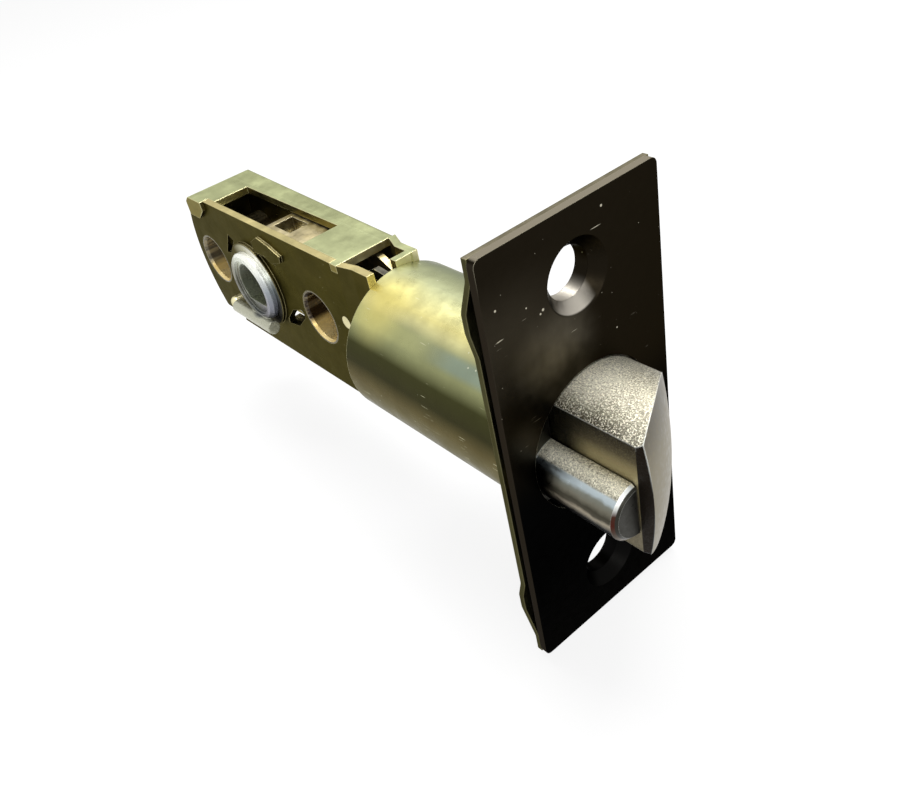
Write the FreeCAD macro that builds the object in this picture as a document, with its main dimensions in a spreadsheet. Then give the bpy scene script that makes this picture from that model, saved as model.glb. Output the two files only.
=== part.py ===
import FreeCAD, Part

import math
import os

import Sketcher

# Tubular deadlatch for a door edge, in millimetres.
# +X points out of the door edge, +Z up along the faceplate, +Y to the right as seen from in front.
# The origin is the centre of the faceplate's outer face, midway between its two screw holes.

doc = FreeCAD.newDocument("tubular_latch")
sheet = doc.addObject("Spreadsheet::Sheet", "dims")

SIZES = [
    ("plate_wide", 25.4), ("plate_tall", 57.15), ("plate_thick", 1.0), ("plate_corner", 0.9),
    ("screw_rise", 20.64), ("sink_rad", 4.35), ("screw_rad", 3.0), ("cone_deep", 1.5),
    ("collar_deep", 3.35), ("collar_wall", 0.8), ("bore_rad", 9.53),
    ("back_gap", 0.95), ("back_thick", 0.75), ("back_hump", 0.8), ("back_slack", 0.05), ("back_inset", 0.1),
    ("hump_low", 16.8), ("hump_rise", 19.4), ("hump_fall", 21.8), ("hump_high", 26.0), ("hump_bend", 1.6),
    ("tube_rad", 10.9), ("tube_wall", 0.9), ("tube_end", 35.0), ("lip_rad", 12.0),
    ("case_half", 5.1), ("case_high", 11.8), ("case_sheet", 1.2), ("case_fold", 0.8),
    ("far_front", 5.3), ("far_rear", 7.15), ("case_front", 41.5), ("case_rear", 91.5), ("rear_bow", 20.7),
    ("rear_ease", 1.5), ("rear_lean", 1.24), ("near_neck", 4.45), ("far_neck", 4.2),
    ("neck_front", 38.6), ("neck_round", 0.9), ("tongue_front", 23.9), ("tongue_high", 8.7),
    ("flange_side", 0.4), ("flange_low", 9.4),
    ("window_front", 52.0), ("window_rear", 80.0), ("window_side", 2.4),
    ("tab_rear", 89.5), ("tab_middle", 82.3), ("tab_front", 43.1), ("lap_rear", 88.1), ("lap_low", 8.4),
    ("lap_thick", 0.6),
    ("backset", 69.85), ("front_post", 51.2), ("rear_post", 85.3), ("post_bore", 4.0), ("post_wall", 0.5),
    ("post_flare", 0.25), ("post_proud", 0.45),
    ("hub_rad", 6.0), ("hub_fit", 0.03), ("hub_near", 7.0), ("hub_far", 8.0), ("hub_bevel", 0.5),
    ("hub_rim", 7.4), ("rim_proud", 0.6), ("collar_rad", 6.9), ("collar_thick", 0.7), ("collar_gap", 0.1),
    ("spindle_rad", 4.1), ("spindle_flat", 3.0), ("dish_rad", 4.8), ("dish_deep", 0.5),
    ("cam_half", 1.5), ("cam_reach", 10.0), ("cam_tip", 0.4), ("cam_lean", 51.0), ("cam_root", 3.0),
    ("cam_seat", 4.0), ("cam_throat", 7.4), ("cam_nose", 0.8),
    ("stop_rad", 1.1), ("stop_drop", 6.15), ("stop_out", 7.1), ("stop_rear", 8.1), ("stop_long", 12.45),
    ("pin_rad", 1.3), ("pin_back", 79.35), ("pin_drop", 6.3), ("pin_out", 7.45), ("pin_dome", 0.8),
    ("scuff_proud", 0.5), ("slide_in", 1.7), ("slide_out", 2.8), ("slide_lap", 0.1), ("slide_sheet", 1.1),
    ("slide_high", 10.3), ("slide_gap", 6.35), ("slide_slot", 4.85), ("slide_neck", 8.6),
    ("slide_rear", 66.0), ("web_rear", 60.0), ("web_front", 48.0), ("slide_shoulder", 42.5),
    ("slide_step", 38.6), ("slide_front", 25.8), ("slot_rear", 51.4), ("slot_bevel", 1.2),
    ("slot_front", 29.6), ("tang_low", 7.95), ("bridge_high", 5.4), ("tail_room", 0.2),
    ("bolt_rad", 9.3), ("bolt_flat", 5.5), ("bolt_nose", 12.7), ("bolt_back", 8.5), ("bolt_collar", 9.8),
    ("bolt_stop", 1.2), ("bolt_bore", 4.7), ("nose_back", 11.2), ("nose_side", 5.05), ("bevel_bow", 62.0),
    ("bevel_end", 1.9), ("bevel_side", 9.2), ("cross_rad", 1.0), ("cross_ahead", 2.6), ("cross_far", 3.4),
    ("plunger_rad", 3.7), ("plunger_low", 1.3), ("plunger_face", 5.65), ("plunger_nose", 11.0),
    ("plunger_back", 8.0), ("plunger_bevel", 0.6), ("foot_high", 5.8),
    ("strip_thick", 0.9), ("strip_low", 0.4), ("strip_high", 3.0), ("strip_deep", 3.0), ("strip_end", 24.3),
    ("spigot_side", 7.5), ("spigot_drop", 2.6), ("spigot_rad", 1.1), ("spigot_long", 3.5),
    ("tail_half", 0.75), ("tail_high", 3.0), ("tail_end", 28.4), ("tail_hook", 4.4), ("tail_head", 1.1),
    ("tail_front", 5.0), ("seat_back", 23.9), ("seat_thick", 1.0), ("seat_room", 0.35),
    ("lever_back", 43.2), ("lever_rise", 2.0), ("lever_half", 0.5), ("lever_pin", 1.0),
    ("bolt_wire", 0.45), ("bolt_coil", 3.85), ("plunger_wire", 0.28), ("plunger_coil", 1.5),
]

for row, (alias, size) in enumerate(SIZES, start=1):
    sheet.set("A%d" % row, alias)
    sheet.set("B%d" % row, str(size))
    sheet.setAlias("B%d" % row, alias)
doc.recompute()


class Size:
    """A length that keeps its number and the sheet expression that gives it."""

    def __init__(self, number, text):
        self.number = float(number)
        self.text = text

    def join(self, other, sign, number):
        return Size(number, "(%s %s %s)" % (self.text, sign, size(other).text))

    def __add__(self, other):
        return self.join(other, "+", self.number + size(other).number)

    def __sub__(self, other):
        return self.join(other, "-", self.number - size(other).number)

    def __mul__(self, other):
        return self.join(other, "*", self.number * size(other).number)

    def __truediv__(self, other):
        return self.join(other, "/", self.number / size(other).number)

    def __neg__(self):
        return Size(-self.number, "(0 - %s)" % self.text)


def size(value):
    if isinstance(value, Size):
        return value
    return Size(value, "%.6g" % value if value >= 0 else "(0 - %.6g)" % -value)


class Dims:
    """Reads a driving dimension from the sheet by its alias."""

    def __getattr__(self, alias):
        return Size(sheet.get(alias), "dims.%s" % alias)


d = Dims()


def cosine(angle):
    return Size(math.cos(math.radians(angle.number)), "cos(%s * 1deg)" % angle.text)


def sine(angle):
    return Size(math.sin(math.radians(angle.number)), "sin(%s * 1deg)" % angle.text)


def new_body(name):
    body = doc.addObject("PartDesign::Body", name)
    body.Label = name
    return body


def new_sketch(body, name, plane, lift=0):
    sketch = body.newObject("Sketcher::SketchObject", body.Name + "_" + name)
    origin_plane = [f for f in body.Origin.OriginFeatures if f.Role == plane][0]
    sketch.AttachmentSupport = [(origin_plane, "")]
    sketch.MapMode = "FlatFace"
    sketch.setExpression("AttachmentOffset.Base.z", size(lift).text)
    return sketch


def fix(sketch, kind, first, value):
    """Adds a dimension to the sketch and binds it to the sheet."""
    value = size(value)
    index = sketch.addConstraint(Sketcher.Constraint(kind, *first, value.number))
    sketch.setExpression("Constraints[%d]" % index, value.text)


def fix_point(sketch, geo, end, across, up):
    fix(sketch, "DistanceX", (-1, 1, geo, end), across)
    fix(sketch, "DistanceY", (-1, 1, geo, end), up)


def vector(across, up):
    return FreeCAD.Vector(size(across).number, size(up).number, 0)


def draw_outline(sketch, points):
    """A closed outline. A point is (across, up) or (across, up, radius) where an arc starts from it."""
    count = len(points)
    first = sketch.GeometryCount
    for i, point in enumerate(points):
        here = vector(point[0], point[1])
        there = vector(points[(i + 1) % count][0], points[(i + 1) % count][1])
        if len(point) == 2:
            sketch.addGeometry(Part.LineSegment(here, there), False)
        else:
            bend = size(point[2]).number
            chord = there - here
            side = 1 if bend > 0 else -1
            normal = FreeCAD.Vector(-chord.y, chord.x, 0).normalize()
            sag = abs(bend) - math.sqrt(max(bend * bend - chord.Length ** 2 / 4, 0))
            middle = (here + there) * 0.5 - normal * (sag * side)
            sketch.addGeometry(Part.Arc(here, middle, there), False)
    for i, point in enumerate(points):
        geo = first + i
        nxt = first + (i + 1) % count
        start = 1 if len(point) == 2 or size(point[2]).number > 0 else 2
        end = 3 - start
        next_point = points[(i + 1) % count]
        next_start = 1 if len(next_point) == 2 or size(next_point[2]).number > 0 else 2
        sketch.addConstraint(Sketcher.Constraint("Coincident", geo, end, nxt, next_start))
        fix_point(sketch, geo, start, point[0], point[1])
        if len(point) == 3:
            bend = size(point[2])
            fix(sketch, "Radius", (geo,), bend if bend.number > 0 else -bend)


def draw_box(sketch, left, right, low, high):
    draw_outline(sketch, [(left, low), (right, low), (right, high), (left, high)])


def draw_circle(sketch, across, up, radius):
    centre = vector(across, up)
    circle = Part.Circle(centre, FreeCAD.Vector(0, 0, 1), size(radius).number)
    geo = sketch.addGeometry(circle, False)
    fix_point(sketch, geo, 3, across, up)
    fix(sketch, "Radius", (geo,), radius)


def pad(sketch, length, reverse=False):
    body = sketch.getParentGeoFeatureGroup()
    feature = body.newObject("PartDesign::Pad", sketch.Name + "_pad")
    feature.Profile = sketch
    feature.setExpression("Length", size(length).text)
    feature.Reversed = reverse
    return finish(sketch, feature)


def pocket(sketch, length, reverse=False):
    body = sketch.getParentGeoFeatureGroup()
    feature = body.newObject("PartDesign::Pocket", sketch.Name + "_cut")
    feature.Profile = sketch
    feature.setExpression("Length", size(length).text)
    feature.Reversed = reverse
    return finish(sketch, feature, cuts=True)


def spin(sketch, axis="V_Axis", groove=False):
    body = sketch.getParentGeoFeatureGroup()
    kind = "PartDesign::Groove" if groove else "PartDesign::Revolution"
    feature = body.newObject(kind, sketch.Name + "_turn")
    feature.Profile = sketch
    feature.ReferenceAxis = (sketch, [axis])
    feature.Angle = 360
    return finish(sketch, feature, cuts=groove)


def finish(sketch, feature, cuts=False):
    """Recomputes the feature and makes sure that it has really added or removed material."""
    body = sketch.getParentGeoFeatureGroup()
    base = feature.BaseFeature
    sketch.Visibility = False
    doc.recompute()
    if "Invalid" in feature.State or feature.Shape.isNull():
        raise RuntimeError("feature failed: " + feature.Name)
    if base is not None:
        change = feature.Shape.Volume - base.Shape.Volume
        if (change > -1e-6) if cuts else (change < 1e-6):
            raise RuntimeError("feature changes nothing: " + feature.Name)
    body.Tip = feature
    return feature


def round_edges(body, pick, radius, kind="Fillet", name="edges"):
    """Rounds or bevels the edges of the body's tip that pick() chooses."""
    tip = body.Tip
    names = ["Edge%d" % (i + 1) for i, edge in enumerate(tip.Shape.Edges) if pick(edge)]
    feature = body.newObject("PartDesign::" + kind, body.Name + "_" + name)
    feature.Base = (tip, names)
    feature.setExpression("Radius" if kind == "Fillet" else "Size", size(radius).text)
    doc.recompute()
    if not names or "Invalid" in feature.State:
        raise RuntimeError("edges of %s could not be finished" % body.Name)
    body.Tip = feature
    return feature


def turn_axis(sketch, kind, place):
    """A construction line through the given place, for a turned feature: Horizontal or Vertical."""
    if kind == "Horizontal":
        ends, along = (vector(-5, place), vector(5, place)), "DistanceY"
    else:
        ends, along = (vector(place, -5), vector(place, 5)), "DistanceX"
    axis = sketch.addGeometry(Part.LineSegment(*ends), True)
    sketch.addConstraint(Sketcher.Constraint(kind, axis))
    fix(sketch, along, (-1, 1, axis, 1), place)


def root_of(long, short):
    """The other short side of a right triangle."""
    number = math.sqrt(long.number ** 2 - short.number ** 2)
    return Size(number, "sqrt(%s ^ 2 - %s ^ 2)" % (long.text, short.text))


def near(value, wanted):
    return abs(value - size(wanted).number) < 1e-3


def faceplate():
    """Plate with the bolt's bore and two countersinks drawn back into collars."""
    body = new_body("faceplate")
    outline = new_sketch(body, "outline", "YZ_Plane", -d.plate_thick)
    half_wide, half_tall = d.plate_wide / 2, d.plate_tall / 2
    draw_box(outline, -half_wide, half_wide, -half_tall, half_tall)
    draw_circle(outline, 0, 0, d.bore_rad)
    pad(outline, d.plate_thick)
    corner = lambda e: near(e.Length, d.plate_thick) and near(abs(e.CenterOfMass.z), half_tall)
    round_edges(body, corner, d.plate_corner)
    for side, name in ((1, "upper"), (-1, "lower")):
        rise = d.screw_rise * side
        collar = new_sketch(body, name + "_collar", "YZ_Plane", -d.collar_deep)
        draw_circle(collar, 0, rise, d.screw_rad + d.collar_wall)
        pad(collar, d.collar_deep - d.plate_thick)
        sink = new_sketch(body, name + "_sink", "XZ_Plane")
        edge = rise + d.screw_rad
        draw_outline(sink, [(-d.collar_deep, rise), (0, rise), (0, rise + d.sink_rad), (-d.cone_deep, edge),
                            (-d.collar_deep, edge)])
        turn_axis(sink, "Horizontal", rise)
        spin(sink, "Axis0", groove=True)
    return body


def back_plate():
    """Thin plate behind the faceplate, pressed back round each screw hole and touching it at both ends."""
    body = new_body("back_plate")
    front = -(d.plate_thick + d.back_gap)
    back = front - d.back_thick
    end = d.plate_tall / 2 - d.back_inset
    steps = [(d.hump_low, 0), (d.hump_rise, d.back_hump), (d.hump_fall, d.back_hump),
             (d.hump_high, -d.back_gap), (end, -d.back_gap)]
    outer = [(back - shift, height) for height, shift in steps]
    inner = [(front - shift, height) for height, shift in reversed(steps)]
    mirrored = [(x, -z) for x, z in inner[::-1]] + [(x, -z) for x, z in outer[::-1]]
    half_wide = d.plate_wide / 2 - d.back_inset
    profile = new_sketch(body, "profile", "XZ_Plane", -half_wide)
    draw_outline(profile, outer + inner + mirrored)
    pad(profile, half_wide * 2)
    fold = lambda e: near(e.Length, half_wide * 2) and abs(e.CenterOfMass.z) < end.number - 1
    round_edges(body, fold, d.hump_bend)
    holes = new_sketch(body, "holes", "YZ_Plane")
    draw_circle(holes, 0, 0, d.tube_rad)
    for rise in (d.screw_rise, -d.screw_rise):
        draw_circle(holes, 0, rise, d.screw_rad + d.collar_wall + d.back_slack)
    pocket(holes, 10)
    return body


def housing_tube():
    """Drawn tube with its front edge turned out between the two plates."""
    body = new_body("housing_tube")
    wall = new_sketch(body, "wall", "XZ_Plane")
    front, back = -d.plate_thick, -(d.plate_thick + d.back_gap)
    inside = d.tube_rad - d.tube_wall
    draw_outline(wall, [(-d.tube_end, inside), (front, inside), (front, d.lip_rad), (back, d.lip_rad),
                        (back, d.tube_rad), (-d.tube_end, d.tube_rad)])
    spin(wall, "H_Axis")
    return body


def rear_cut(body, name):
    """Trims the rear end of the case to its shallow bow, with both corners eased."""
    centre = -(d.case_rear - d.rear_bow)
    shoulder, tall = d.case_high - d.rear_ease, d.case_high + 4
    far = -(d.case_rear + 6)
    bow = new_sketch(body, name, "XZ_Plane", -12)
    start = centre - root_of(d.rear_bow, shoulder)
    lean = start + (tall - shoulder) * d.rear_lean
    draw_outline(bow, [(far, -tall), (far, tall), (lean, tall), (start, shoulder, d.rear_bow),
                       (start, -shoulder), (lean, -tall)])
    pocket(bow, 24, reverse=True)


def far_side(place):
    """Outer face of the far wall, which flares a little to the rear, at a distance behind the faceplate."""
    flare = (d.far_rear - d.far_front) / (d.case_rear - d.case_front)
    return d.far_front + (size(place) - d.case_front) * flare


def add_neck(body, side, wall, neck):
    """A side wall's neck, which steps in towards the tube, and the tongue that holds it there."""
    sheet_t = d.case_sheet
    points = [(-d.case_front, wall - sheet_t), (-d.neck_front, neck - sheet_t),
              (-d.tube_end, neck - sheet_t), (-d.tube_end, neck), (-d.neck_front, neck),
              (-d.case_front, wall)]
    if side < 0:
        points = [(x, -y) for x, y in reversed(points)]
    plan = new_sketch(body, "neck", "XY_Plane", -d.case_high)
    draw_outline(plan, points)
    pad(plan, d.case_high * 2)
    tongue = new_sketch(body, "tongue", "XY_Plane", -d.tongue_high)
    low, high = (neck - sheet_t, neck) if side > 0 else (-neck, sheet_t - neck)
    draw_box(tongue, -d.tube_end, -d.tongue_front, low, high)
    pad(tongue, d.tongue_high * 2)
    bend = lambda e: (near(e.CenterOfMass.x, -d.neck_front) and near(e.CenterOfMass.y, neck * side)
                      and near(e.Length, d.case_high * 2))
    round_edges(body, bend, d.neck_round, name="neck_bend")


def case_channel():
    """Folded sheet: top and bottom webs, the far side wall and the tabs over the near plate."""
    body = new_body("case_channel")
    seam, high, sheet_t = -(d.case_half - d.case_sheet), d.case_high, d.case_sheet
    plan = new_sketch(body, "plan", "XY_Plane", -high)
    draw_outline(plan, [(-d.case_rear, seam), (-d.case_front, seam), (-d.case_front, d.far_front),
                        (-d.case_rear, d.far_rear)])
    pad(plan, high * 2)
    fold = lambda e: e.Length > 40 and e.CenterOfMass.y > 5
    round_edges(body, fold, d.case_fold, name="fold")
    inside = new_sketch(body, "inside", "XY_Plane", sheet_t - high)
    back, ahead = d.case_rear + 1, d.case_front - 1
    draw_outline(inside, [(-back, seam - 1), (-ahead, seam - 1), (-ahead, far_side(ahead) - sheet_t),
                          (-back, far_side(back) - sheet_t)])
    pocket(inside, (high - sheet_t) * 2, reverse=True)
    tabs = (("rear_tab", d.tab_rear, d.tab_middle), ("front_tab", d.tab_front, d.case_front))
    for name, rear, front in tabs:
        tab = new_sketch(body, name, "XZ_Plane", -seam)
        draw_box(tab, -rear, -front, high - sheet_t, high)
        pad(tab, sheet_t)
    lap = new_sketch(body, "rear_lap", "XZ_Plane", d.case_half)
    draw_outline(lap, [(-d.lap_rear, d.lap_low), (-d.tab_middle - 2.3, d.lap_low),
                       (-d.tab_middle, d.lap_low + 1.8), (-d.tab_middle, high), (-d.lap_rear, high)])
    pad(lap, d.lap_thick)
    add_neck(body, 1, d.far_front, d.far_neck)
    for name, sign in (("upper_flange", 1), ("lower_flange", -1)):
        flange = new_sketch(body, name, "YZ_Plane", -(d.tube_end + sheet_t))
        low, top = sorted([d.flange_low * sign, high * sign], key=lambda s: s.number)
        draw_box(flange, d.flange_side, d.far_neck - d.case_sheet / 2, low, top)
        pad(flange, sheet_t)
    window = new_sketch(body, "window", "XY_Plane", -high - 1)
    draw_box(window, -d.window_rear, -d.window_front, seam - 1, d.window_side)
    pocket(window, high * 2 + 2, reverse=True)
    bores = new_sketch(body, "bores", "XZ_Plane", -(d.far_rear + 1))
    draw_circle(bores, -d.backset, 0, d.hub_rad + d.hub_fit)
    draw_circle(bores, -d.front_post, 0, d.post_bore + d.post_wall)
    draw_circle(bores, -d.rear_post, 0, d.post_bore + d.post_wall)
    draw_circle(bores, -d.lever_back, d.lever_rise, d.lever_pin)
    pocket(bores, 7, reverse=True)
    crest = far_side(d.backset) + d.rim_proud
    hub_rim(body, -crest, d.rim_proud + d.case_sheet / 2)
    rear_cut(body, "rear_bow")
    return body


def hub_rim(body, lift, thick):
    """Raised ring pressed out round the hub's hole."""
    rim = new_sketch(body, "hub_rim", "XZ_Plane", lift)
    draw_circle(rim, -d.backset, 0, d.hub_rim)
    draw_circle(rim, -d.backset, 0, d.hub_rad + d.hub_fit)
    pad(rim, thick)


def side_plate():
    """The near side wall, a separate flat plate let in between the webs."""
    body = new_body("side_plate")
    high, sheet_t = d.case_high, d.case_sheet
    outline = new_sketch(body, "outline", "XZ_Plane", d.case_half - sheet_t)
    low, top = sheet_t - high, high - sheet_t
    rear, front = -d.tab_middle, -d.tab_front
    draw_outline(outline, [(-d.case_rear, low), (rear, low), (rear, -high), (front, -high), (front, low),
                           (-d.case_front, low), (-d.case_front, top), (front, top), (front, high),
                           (rear, high), (rear, top), (-d.case_rear, top)])
    pad(outline, sheet_t)
    add_neck(body, -1, d.case_half, d.near_neck)
    lip = [(-66.4, 7.0), (-63.6, 7.2), (-61.2, 6.4), (-58.3, 7.4), (-57.9, 8.6), (-61.0, 9.6),
           (-64.2, 10.2), (-66.6, 8.8)]
    lip_slit = [(-66.3, 6.4), (-63.6, 6.6), (-61.2, 5.8), (-61.2, 6.3), (-63.6, 7.1), (-66.3, 6.9)]
    three_sided_hole = [(-63.2, -5.3), (-59.7, -4.7), (-56.5, -2.0), (-56.9, -0.7), (-60.3, -1.9),
                        (-62.9, -4.3)]
    slanted_slot = [(-79.3, 3.1), (-77.2, 3.6), (-74.7, 6.6), (-76.3, 7.3)]
    scuff = new_sketch(body, "scuff", "XZ_Plane", d.case_half)
    draw_outline(scuff, lip)
    pad(scuff, d.scuff_proud)
    bores = new_sketch(body, "bores", "XZ_Plane", d.case_half - sheet_t - 2)
    draw_circle(bores, -d.backset, 0, d.hub_rad + d.hub_fit)
    draw_circle(bores, -d.front_post, 0, d.post_bore + d.post_wall)
    draw_circle(bores, -d.rear_post, 0, d.post_bore + d.post_wall)
    draw_circle(bores, -d.lever_back, d.lever_rise, d.lever_pin)
    draw_circle(bores, -d.pin_back, -d.pin_drop, d.pin_rad)
    for outline in (three_sided_hole, slanted_slot, lip_slit):
        draw_outline(bores, outline)
    pocket(bores, sheet_t + 4, reverse=True)
    hub_rim(body, d.case_half, d.rim_proud)
    rear_cut(body, "rear_bow")
    return body


def post_eyelet(name, place):
    """Hollow rivet that joins the two side walls and passes a mounting screw."""
    body = new_body(name)
    ring = new_sketch(body, "ring", "XY_Plane")
    bore, outer = d.post_bore - place, d.post_bore + d.post_wall - place
    close, flare = -d.case_half, d.post_flare
    far = far_side(place) + d.post_proud
    draw_outline(ring, [(bore + flare, close), (outer, close), (outer, far), (bore, far),
                        (bore, close + flare * 2)])
    turn_axis(ring, "Vertical", -place)
    spin(ring, "Axis0")
    return body


def hub():
    """Cast hub: two journals, retaining collars, a two-armed cam, a D-shaped spindle hole and a stop arm."""
    body = new_body("hub")
    place, rad, collar, bevel = -d.backset, d.hub_rad, d.collar_rad, d.hub_bevel
    close_out = d.case_half - d.case_sheet - d.collar_gap
    far_out = far_side(d.backset - d.collar_rad) - d.case_sheet - d.collar_gap
    close_in, far_in = close_out - d.collar_thick, far_out - d.collar_thick
    drum = new_sketch(body, "drum", "XY_Plane")
    rim = place + rad
    draw_outline(drum, [(place, -d.hub_near), (rim - bevel, -d.hub_near), (rim, bevel - d.hub_near),
                        (rim, -close_out), (place + collar, -close_out), (place + collar, -close_in),
                        (rim, -close_in), (rim, far_in), (place + collar, far_in),
                        (place + collar, far_out), (rim, far_out), (rim, d.hub_far), (place, d.hub_far)])
    turn_axis(drum, "Vertical", place)
    spin(drum, "Axis0")
    along, across = cosine(d.cam_lean), sine(d.cam_lean)
    tip, root, seat = d.cam_tip, d.cam_root, d.cam_seat
    corners = [(seat, root), (seat, -root), (d.cam_reach - d.cam_nose, -tip * 3), (d.cam_reach, -tip),
               (d.cam_reach, tip), (d.cam_throat, tip)]
    for name, sign in (("upper_cam", 1), ("lower_cam", -1)):
        points = [(place + along * out - across * wide, (across * out + along * wide) * sign)
                  for out, wide in corners]
        arm = new_sketch(body, name, "XZ_Plane", -d.cam_half)
        draw_outline(arm, points if sign < 0 else points[::-1])
        pad(arm, d.cam_half * 2)
    stop = new_sketch(body, "stop_arm", "YZ_Plane", place - d.stop_rear)
    draw_circle(stop, -d.stop_out, -d.stop_drop, d.stop_rad)
    pad(stop, d.stop_long)
    dish = new_sketch(body, "dish", "XZ_Plane", d.hub_near)
    draw_circle(dish, place, 0, d.dish_rad)
    pocket(dish, d.dish_deep)
    hole = new_sketch(body, "spindle_hole", "XZ_Plane", -d.hub_far)
    draw_d_hole(hole, place, d.spindle_rad, d.spindle_flat)
    pocket(hole, d.hub_near + d.hub_far, reverse=True)
    return body


def draw_d_hole(sketch, place, radius, flat):
    """A circle cut off by a flat below its centre, as a major arc and its chord."""
    side = root_of(radius, flat)
    left, right = vector(place - side, -flat), vector(place + side, -flat)
    top = vector(place, radius)
    arc = sketch.addGeometry(Part.Arc(right, top, left), False)
    line = sketch.addGeometry(Part.LineSegment(left, right), False)
    sketch.addConstraint(Sketcher.Constraint("Coincident", arc, 2, line, 1))
    sketch.addConstraint(Sketcher.Constraint("Coincident", arc, 1, line, 2))
    fix_point(sketch, arc, 3, place, 0)
    fix(sketch, "Radius", (arc,), radius)
    sketch.addConstraint(Sketcher.Constraint("Horizontal", line))
    fix(sketch, "DistanceY", (-1, 1, line, 1), -flat)


def stop_pin():
    """Domed pin staked in the near wall, against which the hub's stop arm rests."""
    body = new_body("stop_pin")
    start = d.case_half - d.case_sheet
    shank = new_sketch(body, "shank", "XZ_Plane", start)
    draw_circle(shank, -d.pin_back, -d.pin_drop, d.pin_rad)
    pad(shank, d.pin_out - start)
    rim = lambda e: near(e.CenterOfMass.y, -d.pin_out)
    round_edges(body, rim, d.pin_dome)
    return body


def retractor():
    """Folded slide: two forked cheeks, cross webs, and the tangs that the cam pushes."""
    body = new_body("retractor")
    rear, front, high, gap, slot = -d.slide_rear, -d.slide_front, d.slide_high, d.slide_gap, d.slide_slot
    half = [(rear, gap), (rear, high), (-d.slide_shoulder, high), (-d.slide_step, d.slide_neck),
            (front, d.slide_neck)]
    mouth = -(d.slot_rear + d.slot_bevel)
    fork = half + [(x, -z) for x, z in reversed(half)]
    fork = fork + [(mouth, -gap), (-d.slot_rear, -slot), (-d.slot_front, -slot), (-d.slot_front, slot),
                   (-d.slot_rear, slot), (mouth, gap)]
    far_cheek = new_sketch(body, "far_cheek", "XZ_Plane", -d.slide_out)
    draw_outline(far_cheek, fork)
    pad(far_cheek, d.slide_out - d.slide_in)
    side, sheet_t = d.slide_out - d.slide_lap, d.slide_sheet
    for sign, name in ((1, "upper"), (-1, "lower")):
        tang = new_sketch(body, name + "_tang", "XZ_Plane", -side)
        low, top = sorted([d.tang_low * sign, high * sign], key=lambda s: s.number)
        draw_box(tang, rear, rear + sheet_t, low, top)
        pad(tang, side * 2)
        web = new_sketch(body, name + "_web", "XZ_Plane", -side)
        low, top = sorted([(high - sheet_t) * sign, high * sign], key=lambda s: s.number)
        draw_box(web, -d.web_rear, -d.web_front, low, top)
        pad(web, side * 2)
    bridge = new_sketch(body, "bridge", "YZ_Plane", front - sheet_t - d.slide_lap)
    draw_box(bridge, -side, side, -d.bridge_high, d.bridge_high)
    wide, tall = d.tail_half + d.tail_room, d.tail_high + d.tail_room
    draw_box(bridge, -wide, wide, -tall, tall)
    pad(bridge, sheet_t)
    near_cheek = new_sketch(body, "near_cheek", "XZ_Plane", d.slide_in)
    draw_outline(near_cheek, fork)
    pad(near_cheek, d.slide_out - d.slide_in)
    return body


def latchbolt():
    """Cast bolt: a cylinder with a flat for the plunger, a bowed bevel and a guiding collar."""
    body = new_body("latchbolt")
    stop, back = -d.bolt_stop, -d.bolt_back
    shank = new_sketch(body, "shank", "YZ_Plane", stop)
    draw_flat_disc(shank, d.bolt_rad, d.bolt_flat)
    pad(shank, d.bolt_nose - stop)
    collar = new_sketch(body, "collar", "YZ_Plane", back)
    draw_flat_disc(collar, d.bolt_collar, d.bolt_flat)
    pad(collar, stop - back)
    bevel = new_sketch(body, "bevel", "XY_Plane", -12)
    nose, flat = d.bolt_nose, d.bolt_flat
    aside, ahead = d.bolt_rad + 3, nose + 4
    draw_outline(bevel, [(d.nose_back, -flat - 1), (d.nose_back, -flat), (nose, -d.nose_side, -d.bevel_bow),
                         (d.bevel_end, d.bevel_side), (d.bevel_end, aside), (ahead, aside),
                         (ahead, -flat - 1)])
    pocket(bevel, 24, reverse=True)
    bore = new_sketch(body, "bore", "YZ_Plane", back)
    draw_circle(bore, 0, 0, d.bolt_bore)
    pocket(bore, d.bolt_back, reverse=True)
    slot = new_sketch(body, "tail_slot", "YZ_Plane", 0)
    draw_box(slot, -d.tail_half, d.tail_half, -d.tail_high, d.tail_high)
    pocket(slot, d.tail_front, reverse=True)
    cross = new_sketch(body, "pin_hole", "XZ_Plane", flat)
    draw_circle(cross, d.cross_ahead, 0, d.cross_rad)
    pocket(cross, flat + d.cross_far)
    return body


def draw_flat_disc(sketch, radius, flat):
    """A disc with a flat on its -Y side."""
    side = root_of(radius, flat)
    low, high = vector(-flat, -side), vector(-flat, side)
    arc = sketch.addGeometry(Part.Arc(low, vector(radius, 0), high), False)
    line = sketch.addGeometry(Part.LineSegment(high, low), False)
    sketch.addConstraint(Sketcher.Constraint("Coincident", arc, 2, line, 1))
    sketch.addConstraint(Sketcher.Constraint("Coincident", arc, 1, line, 2))
    sketch.addConstraint(Sketcher.Constraint("Coincident", arc, 3, -1, 1))
    fix(sketch, "Radius", (arc,), radius)
    sketch.addConstraint(Sketcher.Constraint("Vertical", line))
    fix(sketch, "DistanceX", (-1, 1, line, 1), -flat)


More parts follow.
